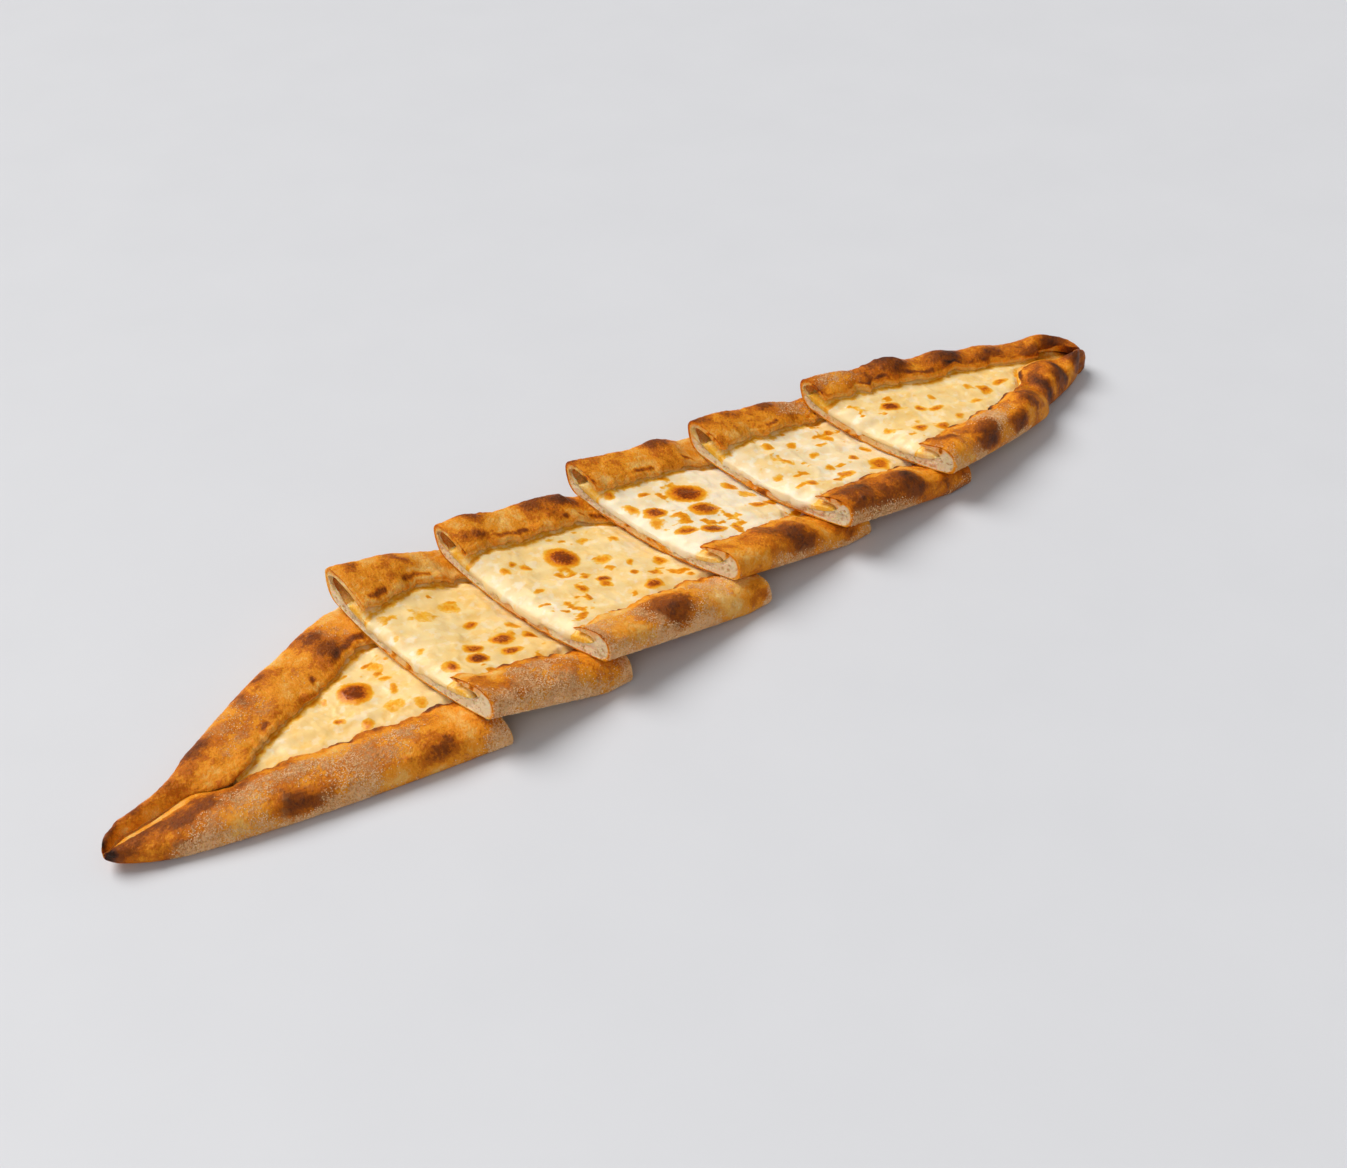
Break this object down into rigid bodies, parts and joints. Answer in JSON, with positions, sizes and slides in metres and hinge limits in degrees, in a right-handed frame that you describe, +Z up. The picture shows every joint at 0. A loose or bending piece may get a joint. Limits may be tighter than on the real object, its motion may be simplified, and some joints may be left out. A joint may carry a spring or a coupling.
{
  "type": "cheese pide",
  "caption": "Long boat-shaped cheese flatbread with folded browned rims and a pinched tip, cut across into slices that lie in a row, each with one end on the slice before it.",
  "frame": {"origin": "centre of the row's bounding box, on the surface that the slices lie on", "axes": "+X along the row from the pinched tip to the rounded tip, +Z up, +Y to the side with the narrower folds"},
  "size_m": [0.542, 0.1114, 0.0319],
  "materials": {
    "crust": "baked bread crust, golden to dark brown, dusted with flour",
    "cheese": "melted cheese, creamy yellow with toasted brown spots, slightly oily"
  },
  "bodies": {
    "root": {"slice_1_crust": "crust", "slice_1_cheese": "cheese", "slice_2_crust": "crust", "slice_2_cheese": "cheese", "slice_3_crust": "crust", "slice_3_cheese": "cheese", "slice_4_crust": "crust", "slice_4_cheese": "cheese", "slice_5_crust": "crust", "slice_5_cheese": "cheese", "slice_6_crust": "crust", "slice_6_cheese": "cheese"}
  },
  "joints": []
}
